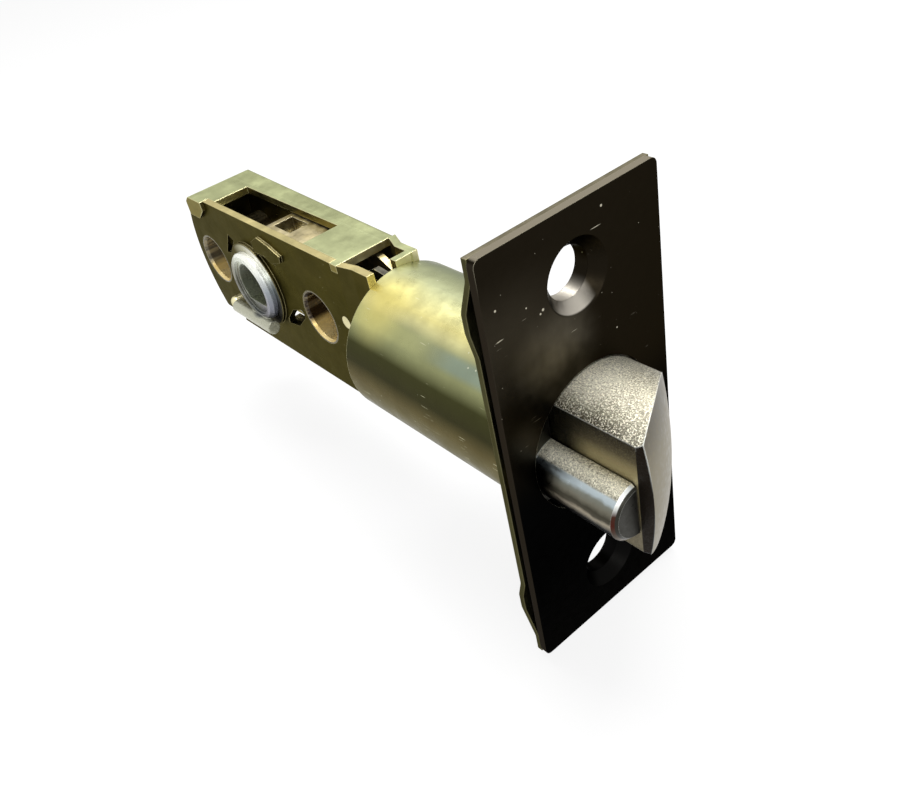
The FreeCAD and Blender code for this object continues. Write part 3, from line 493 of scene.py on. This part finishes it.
def bolt_round(look, turn):
    """The bolt's round side, before its grain, in painted light and shade: dark below, pale on top and
    towards the plate, with a painted highlight near the nose.
    """
    colour = look.bands(
        turn, look.noise(500, 2, 0.6),
        (-150, (96, 91, 76)), (-60, (80, 76, 62)), (40, (70, 66, 54)), (56, (72, 68, 55)),
        (66, (136, 132, 114)), (78, (180, 174, 154)), (92, (192, 186, 163)), (104, (168, 162, 141)),
        (118, (134, 129, 112)), (140, (96, 91, 77)))
    # A painted highlight near the nose's top corner, and painted light at the root by the plate
    colour = look.paint(colour, look.spot((10.5, -4.6, 7.6), 3.6), (150, 146, 130), 0.6)
    root = look.both(look.fade(look.along, 6.2, 2.0), look.sweep(turn, 57.6, 72))
    return look.paint(colour, root, (238, 234, 214), 0.45)


def bolt_flat(look, fine, coarse):
    """The brassy flat beside the plunger: pale in its middle, dark above, and with a painted shadow at the
    plate.
    """
    rise = look.rise
    colour = look.ramp(look.fade(rise, 7.6, 2.6), (0.0, display(36, 31, 22)), (0.45, display(84, 76, 56)),
                       (0.8, display(142, 131, 95)), (1.0, display(166, 154, 116)))
    below = look.mix(coarse, display(84, 78, 62), display(132, 124, 102))
    colour = look.mix(look.fade(rise, -1.5, -4.5), colour, below)
    # Painted shadow where the flat meets the plate
    colour = look.paint(colour, look.fade(look.along, 5.2, 0.8), (5, 4, 2))
    return look.paint(colour, look.ramp(fine, (0.5, 0.0), (0.7, 0.12)), (214, 200, 150))


def bolt_bevel(look, coarse):
    """The smooth bevel: a warm grey with pale clouds."""
    colour = look.mix(look.fade(look.rise, 3, 9), display(128, 121, 101), display(96, 91, 79))
    colour = look.paint(colour, look.fade(look.along, 7, 3), (112, 106, 90))
    return look.paint(colour, look.ramp(coarse, (0.45, 0.0), (0.75, 0.35)), (160, 151, 128))


def bolt_zinc():
    """Die cast bolt: a grainy round side, a brassy flat, a dark strip along the nose and a smooth bevel."""
    look = Look("bolt_zinc")
    along, side, rise = look.along, look.side, look.rise
    turn = look.turn(look.near_side, rise)
    colour, fine, coarse = cast_grain(look, bolt_round(look, turn))
    on_flat = look.fade(side, FACE_SEAM - BOLT_FLAT, FACE_SLACK - BOLT_FLAT)
    colour = look.mix(on_flat, colour, bolt_flat(look, fine, coarse))
    past_strip = look.fade(along, NOSE_BACK - FACE_SEAM, NOSE_BACK + FACE_SEAM)
    strip = look.both(past_strip, look.fade(look.facing("Y"), -0.70, -0.85))
    colour = look.paint(colour, strip, (27, 21, 14))
    past_nose = look.fade(side, -NOSE_SIDE - FACE_SLACK, -NOSE_SIDE + FACE_SEAM)
    on_bevel = look.both(look.fade(look.facing("X"), 0.40, 0.50), past_nose)
    colour = look.mix(on_bevel, colour, bolt_bevel(look, coarse))
    # Painted highlights on the upper edges
    bright = look.both(look.edge(0.3, 0.03, 0.14), look.fade(rise, 1, 6))
    colour = look.paint(colour, bright, (228, 230, 224), 0.8)
    worn = look.both(look.edge(0.2), look.fade(rise, 0, -4))
    colour = look.paint(colour, worn, (120, 128, 132), 0.5)
    rough = look.uneven(coarse, 0.30, 0.46)
    dull = look.both(look.sweep(turn, 50.4, 64.8), look.fade(look.facing("X"), 0.3, 0.2), 0.3)
    bumpy = look.both(fine, look.opposite(on_bevel))
    return look.finish(colour, look.opposite(dull), rough, look.relief((bumpy, 0.09), edge=0.22))


def plunger_end(look, colour, turn, wander, reach):
    """The plunger's end: a flat dark face inside a rounded rim that mirrors the room, its colours a painted
    reflection.
    """
    rim = look.both(look.fade(look.facing("X"), 0.45, 0.60), look.fade(look.facing("X"), 0.90, 0.80))
    mirrored = look.bands(
        turn, wander,
        (-90, (120, 110, 92)), (-20, (76, 66, 56)), (2, (74, 34, 26)), (22, (70, 44, 36)),
        (36, (190, 192, 188)), (60, (232, 233, 228)), (88, (214, 218, 216)))
    colour = look.mix(rim, colour, mirrored)
    inner_rim = look.both(rim, look.fade(reach, 3.42, 3.34))
    face = look.maths("MAXIMUM", look.fade(look.facing("X"), 0.90, 0.97), inner_rim)
    return look.paint(colour, face, (52, 51, 46))


def plunger_zinc():
    """Die cast plunger: grainy above, a blue polished streak along it and a dark underside, coloured by
    angle in painted light and shade, with painted shadow at its root and on the side towards the bolt.
    """
    look = Look("plunger_zinc")
    across = look.maths("SUBTRACT", look.near_side, PLUNGER_SIDE)
    up = look.maths("ADD", look.rise, PLUNGER_DROP)
    turn = look.turn(across, up)
    wander = look.noise(600, 2, 0.6)
    grainy = look.bands(
        turn, wander,
        (-60, (20, 19, 16)), (40, (140, 138, 125)), (58, (192, 188, 168)), (76, (206, 201, 178)),
        (86, (184, 178, 152)), (120, (110, 105, 88)))
    grainy = look.paint(grainy, look.fade(look.along, 6, 2), (252, 250, 236), 0.2)
    grainy, fine, coarse = cast_grain(look, grainy)
    polished = look.bands(
        turn, wander,
        (-80, (10, 9, 7)), (-14, (8, 7, 5)), (-5, (120, 113, 98)), (1, (152, 143, 124)),
        (7, (70, 66, 54)), (14, (62, 59, 48)), (25, (112, 109, 96)), (34, (124, 126, 116)),
        (41, (178, 190, 194)), (49, (190, 202, 206)), (55, (158, 160, 148)))
    colour = look.mix(look.sweep(turn, 47.52, 53.28), polished, grainy)
    # Painted shadow at the root by the plate
    root_shadow = look.both(look.fade(look.along, 2.4, 0.4), look.sweep(turn, 57.6, 28.8))
    colour = look.paint(colour, root_shadow, (10, 9, 7))
    colour = plunger_end(look, colour, turn, wander, look.reach(across, up))
    # Painted shade on the side that faces the bolt
    shaded_towards_bolt = look.fade(look.facing("Y"), 0.7, 0.95)
    colour = look.paint(colour, shaded_towards_bolt, (30, 27, 20))
    colour = look.paint(colour, look.edge(0.12), (214, 216, 210), 0.45)
    rough = look.uneven(coarse, 0.26, 0.44)
    grainy_part = look.both(look.sweep(turn, 46.8, 55.8), look.fade(look.facing("X"), 0.8, 0.4))
    metallic = look.opposite(look.both(grainy_part, 0.4))
    bumpy = look.both(fine, grainy_part)
    return look.finish(colour, metallic, rough, look.relief((bumpy, 0.09), edge=0.15))


def bright_wire():
    """Drawn spring steel."""
    look = Look("spring_wire")
    drawn = look.noise(900, 2, 0.5)
    colour = look.ramp(drawn, (0.3, display(120, 120, 122)), (0.7, display(186, 186, 188)))
    return look.finish(colour, 1.0, 0.3, look.relief((look.noise(2500, 2, 0.5), 0.01)))


def smooth(mesh, limit):
    """Smooths curved faces and keeps edges sharp past an angle."""
    for face in mesh.polygons:
        face.use_smooth = True
    mesh.set_sharp_from_angle(angle=math.radians(limit))


def dress(node, material):
    """Puts a material on a CAD node and smooths its curved faces."""
    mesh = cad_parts[node].data
    mesh.materials.clear()
    mesh.materials.append(material)
    for face in mesh.polygons:
        face.material_index = 0
    smooth(mesh, CAD_SMOOTH)


def add_piece(name, body, material, shape):
    """Turns a bmesh into a piece that rides on a body."""
    bmesh.ops.recalc_face_normals(shape, faces=shape.faces)
    mesh = bpy.data.meshes.new(name)
    shape.to_mesh(mesh)
    shape.free()
    mesh.materials.append(material)
    smooth(mesh, PIECE_SMOOTH)
    piece = bpy.data.objects.new(name, mesh)
    bpy.context.scene.collection.objects.link(piece)
    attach(piece, body)
    return piece


def join_rings(shape, first, second):
    """Joins two closed rings of points with a band of faces."""
    for i in range(len(first)):
        k = (i + 1) % len(first)
        shape.faces.new((first[i], second[i], second[k], first[k]))


def bolt_front(side, rise):
    """How far the bolt's front reaches: the nose strip, then the doubly bowed bevel."""
    if side < -NOSE_SIDE - FACE_SLACK:
        return NOSE_BACK
    past = side + NOSE_SIDE
    return BOLT_NOSE - BEVEL_SLOPE * past - BEVEL_CURVE * past ** 2 - rise ** 2 / (2 * BEVEL_CROWN)


def bolt_reach(angle, radius, flat):
    """How far a round section with a flat on its near side reaches at an angle."""
    towards_flat = -math.cos(angle)
    if radius * towards_flat <= flat:
        return radius
    return flat / towards_flat


def add_bolt_front(shape):
    """Builds the bolt's front from columns of points, near side to far side. Gives its rim in order."""
    flat_turn = math.acos(-BOLT_FLAT / BOLT_RADIUS)
    nose_turn = math.acos(-NOSE_SIDE / BOLT_RADIUS)
    turns = [flat_turn] + [nose_turn * (1 - i / BEVEL_COLUMNS) for i in range(BEVEL_COLUMNS)]
    columns = []
    for turn in turns:
        side, tall = BOLT_RADIUS * math.cos(turn), BOLT_RADIUS * math.sin(turn)
        heights = [tall * (2 * j / BEVEL_ROWS - 1) for j in range(BEVEL_ROWS + 1)]
        columns.append([shape.verts.new(Vector((bolt_front(side, z), side, z)) * MM) for z in heights])
    tip = shape.verts.new(Vector((bolt_front(BOLT_RADIUS, 0), BOLT_RADIUS, 0)) * MM)
    for left, right in zip(columns, columns[1:]):
        for j in range(BEVEL_ROWS):
            shape.faces.new((left[j], right[j], right[j + 1], left[j + 1]))
    last = columns[-1]
    for j in range(BEVEL_ROWS):
        shape.faces.new((last[j], tip, last[j + 1]))
    rim = [column[0] for column in columns] + [tip] + [column[-1] for column in reversed(columns)]
    return rim + list(reversed(columns[0][1:-1]))


def add_bolt():
    """The cast bolt, as its CAD node but with the bevel bowed along its height too."""
    shape = bmesh.new()
    rim = add_bolt_front(shape)
    angles = [math.atan2(v.co.z, v.co.y) for v in rim]
    # The rings behind the front: the collar, then the rear bore, which has no flat
    rings = [
        (BOLT_STOP, BOLT_RADIUS, BOLT_FLAT),
        (BOLT_STOP, BOLT_COLLAR, BOLT_FLAT),
        (BOLT_BACK, BOLT_COLLAR, BOLT_FLAT),
        (BOLT_BACK, BOLT_BORE, BOLT_BORE),
        (BORE_END, BOLT_BORE, BOLT_BORE),
    ]
    for along, radius, flat in rings:
        ring = []
        for angle in angles:
            reach = bolt_reach(angle, radius, flat)
            place = Vector((along, reach * math.cos(angle), reach * math.sin(angle)))
            ring.append(shape.verts.new(place * MM))
        join_rings(shape, rim, ring)
        rim = ring
    shape.faces.new(rim)
    bolt = add_piece("bolt_casting", "bolt", bolt_zinc(), shape)
    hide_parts("latchbolt")


def add_rear_end(material):
    """The channel's end, turned down behind the rear eyelet along the bow of the side walls."""
    centre = -(CASE_REAR - REAR_BOW)
    shape = bmesh.new()
    rings = []
    for i in range(REAR_STEPS + 1):
        rise = REAR_HALF * (2 * i / REAR_STEPS - 1)
        outer = centre - math.sqrt(REAR_BOW ** 2 - rise ** 2) + REAR_SUNK
        inner = outer + REAR_SHEET
        corners = [(outer, REAR_NEAR), (outer, REAR_FAR), (inner, REAR_FAR), (inner, REAR_NEAR)]
        rings.append([shape.verts.new(Vector((x, y, rise)) * MM) for x, y in corners])
    for low, high in zip(rings, rings[1:]):
        join_rings(shape, low, high)
    shape.faces.new(rings[0])
    shape.faces.new(list(reversed(rings[-1])))
    end = add_piece("rear_end", "case", material, shape)


def add_spring(node, name):
    """A copy of a spring's CAD node that rides on the case in place of the node, which is hidden."""
    spring = bpy.data.objects.new(name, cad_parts[node].data.copy())
    bpy.context.scene.collection.objects.link(spring)
    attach(spring, "case")
    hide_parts(node)
    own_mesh(spring)


def dress_all():
    """Gives every CAD node its material and adds the pieces that scene.py makes."""
    # The sheets share one chromate in lit and shaded copies: the near side plate's dark olive is a painted
    # reflection of dark surroundings, and the back plate's dark colours are painted shade
    web = sheet_zinc("web_zinc", broad=(146, 134, 80), streak=(150, 142, 92),
                     top=(186, 191, 146), low=(52, 46, 27), cut=(236, 228, 180))
    near_side = sheet_zinc("side_zinc", broad=(70, 65, 34), streak=(82, 75, 42),
                           top=(206, 193, 140), low=(40, 36, 19), cut=(224, 212, 158),
                           cut_share=0.25, ring=True)
    back = sheet_zinc("back_zinc", broad=(70, 68, 46), streak=(84, 82, 58),
                      top=(122, 116, 98), low=(40, 38, 26), cut=(110, 106, 76))
    brassy = sheet_zinc("pin_zinc", broad=(250, 242, 196), streak=(255, 248, 206),
                        top=(240, 232, 184), low=(150, 140, 98), cut=(240, 230, 182))
    inner = inner_steel("inner_steel", light=(206, 192, 148), dark=(128, 116, 78))
    dull = inner_steel("dull_steel", light=(96, 92, 80), dark=(34, 31, 24))
    # The silver steel is darkened as painted shade inside the case
    silver = inner_steel("shaded_silver_steel", light=(120, 118, 108), dark=(58, 55, 46))
    wire = bright_wire()
    looks = {
        "faceplate": dark_bronze(),
        "back_plate": back,
        "housing_tube": tube_zinc(),
        "case_channel": web,
        "side_plate": near_side,
        "front_eyelet": eyelet_zinc("front_eyelet_zinc", FRONT_EYELET, shade=(36, 22, 4)),
        "rear_eyelet": eyelet_zinc("rear_eyelet_zinc", REAR_EYELET, shade=(84, 78, 62)),
        "hub": hub_zinc(),
        "stop_pin": brassy,
        "lever_pin": brassy,
        "retractor": inner,
        "bolt_tail": dull,
        "bolt_pin": dull,
        "plunger_tail": dull,
        "spring_seat": dull,
        "deadlock_lever": silver,
        "plunger": plunger_zinc(),
        "bolt_spring": wire,
        "plunger_spring": wire,
    }
    for node, material in looks.items():
        dress(node, material)
    add_bolt()
    add_rear_end(web)
    add_spring("bolt_spring", "bolt_coil")
    add_spring("plunger_spring", "plunger_coil")


def add_camera():
    """The photo's viewpoint: it looks down on the faceplate from the plunger's side, turned a little."""
    azimuth, elevation = math.radians(CAMERA_AZIMUTH), math.radians(CAMERA_ELEVATION)
    roll = math.radians(CAMERA_ROLL)
    level_part = math.cos(elevation)
    back = Vector((math.sin(azimuth) * level_part, -math.cos(azimuth) * level_part, math.sin(elevation)))
    level = Vector((0, 0, 1)).cross(back).normalized()
    rise = back.cross(level)
    right = level * math.cos(roll) + rise * math.sin(roll)
    up = rise * math.cos(roll) - level * math.sin(roll)
    data = bpy.data.cameras.new("photo_camera")
    data.sensor_width = SENSOR_WIDTH
    data.lens = SENSOR_WIDTH * FOCAL_PIXELS / PHOTO_WIDTH
    data.clip_start = CLIP_NEAR * MM
    data.clip_end = CLIP_FAR * MM
    camera = bpy.data.objects.new("photo_camera", data)
    turn = Matrix((right, up, back)).transposed().to_4x4()
    camera.matrix_world = Matrix.Translation(Vector(CAMERA_AT) * MM) @ turn
    bpy.context.scene.collection.objects.link(camera)
    bpy.context.scene.camera = camera


def seen_directly(tree):
    """1 for rays from the camera and for what metal and glass show, 0 for the light on the object."""
    path = tree.nodes.new("ShaderNodeLightPath")
    seen = path.outputs["Is Camera Ray"]
    for ray in ("Is Glossy Ray", "Is Transmission Ray"):
        either = tree.nodes.new("ShaderNodeMath")
        either.operation = "MAXIMUM"
        tree.links.new(seen, either.inputs[0])
        tree.links.new(path.outputs[ray], either.inputs[1])
        seen = either.outputs[0]
    return seen


def add_shader(tree, kind, colour, strength=None):
    """A plain grey or white shader in a node tree."""
    node = tree.nodes.new(kind)
    node.inputs["Color"].default_value = (colour, colour, colour, 1)
    if strength is not None:
        node.inputs["Strength"].default_value = strength
    return node.outputs[0]


def mix_shaders(tree, factor, first, second, output_kind):
    """Mixes two shaders and makes the result the tree's surface."""
    mix = tree.nodes.new("ShaderNodeMixShader")
    output = tree.nodes.new(output_kind)
    tree.links.new(factor, mix.inputs[0])
    tree.links.new(first, mix.inputs[1])
    tree.links.new(second, mix.inputs[2])
    tree.links.new(mix.outputs[0], output.inputs["Surface"])


def add_world():
    """White where it is seen, and dimmer as light on the object."""
    world = bpy.data.worlds.new("studio")
    world.use_nodes = True
    bpy.context.scene.world = world
    tree = world.node_tree
    tree.nodes.clear()
    lit = add_shader(tree, "ShaderNodeBackground", 1, WORLD_LIGHT)
    seen = add_shader(tree, "ShaderNodeBackground", 1, 1)
    mix_shaders(tree, seen_directly(tree), lit, seen, "ShaderNodeOutputWorld")


def add_floor():
    """A pale floor that shows white with the object's soft shadow on it."""
    half = FLOOR_HALF * MM
    corners = [(-half, -half, 0), (half, -half, 0), (half, half, 0), (-half, half, 0)]
    mesh = bpy.data.meshes.new("floor")
    mesh.from_pydata(corners, [], [(0, 1, 2, 3)])
    floor = bpy.data.objects.new("floor", mesh)
    floor.location = (0, 0, FLOOR_LEVEL * MM)
    bpy.context.scene.collection.objects.link(floor)
    material = bpy.data.materials.new("floor")
    material.use_nodes = True
    tree = material.node_tree
    tree.nodes.clear()
    matt = add_shader(tree, "ShaderNodeBsdfDiffuse", FLOOR_GREY)
    glow = add_shader(tree, "ShaderNodeEmission", 1, 1)
    share = tree.nodes.new("ShaderNodeMath")
    share.operation = "MULTIPLY"
    share.inputs[1].default_value = FLOOR_GLOW
    tree.links.new(seen_directly(tree), share.inputs[0])
    mix_shaders(tree, share.outputs[0], matt, glow, "ShaderNodeOutputMaterial")
    mesh.materials.append(material)


def add_lamp(name, place, target, size, power):
    """A rectangular lamp that looks at a target."""
    data = bpy.data.lights.new(name, "AREA")
    data.shape = "RECTANGLE"
    data.size, data.size_y = (side * MM for side in size)
    data.energy = power
    lamp = bpy.data.objects.new(name, data)
    lamp.location = Vector(place) * MM
    lamp.rotation_euler = (Vector(target) - Vector(place)).to_track_quat("-Z", "Y").to_euler()
    bpy.context.scene.collection.objects.link(lamp)


def add_lights():
    """A broad lamp overhead and a weak one in front."""
    add_lamp("overhead", place=(-100, 100, 450), target=(-40, 0, 0), size=(350, 250), power=3.2)
    add_lamp("front", place=(350, -250, 300), target=(0, 0, 0), size=(250, 250), power=0.8)


dress_all()
add_camera()
add_world()
add_floor()
add_lights()

bpy.context.scene.view_settings.view_transform = "Standard"
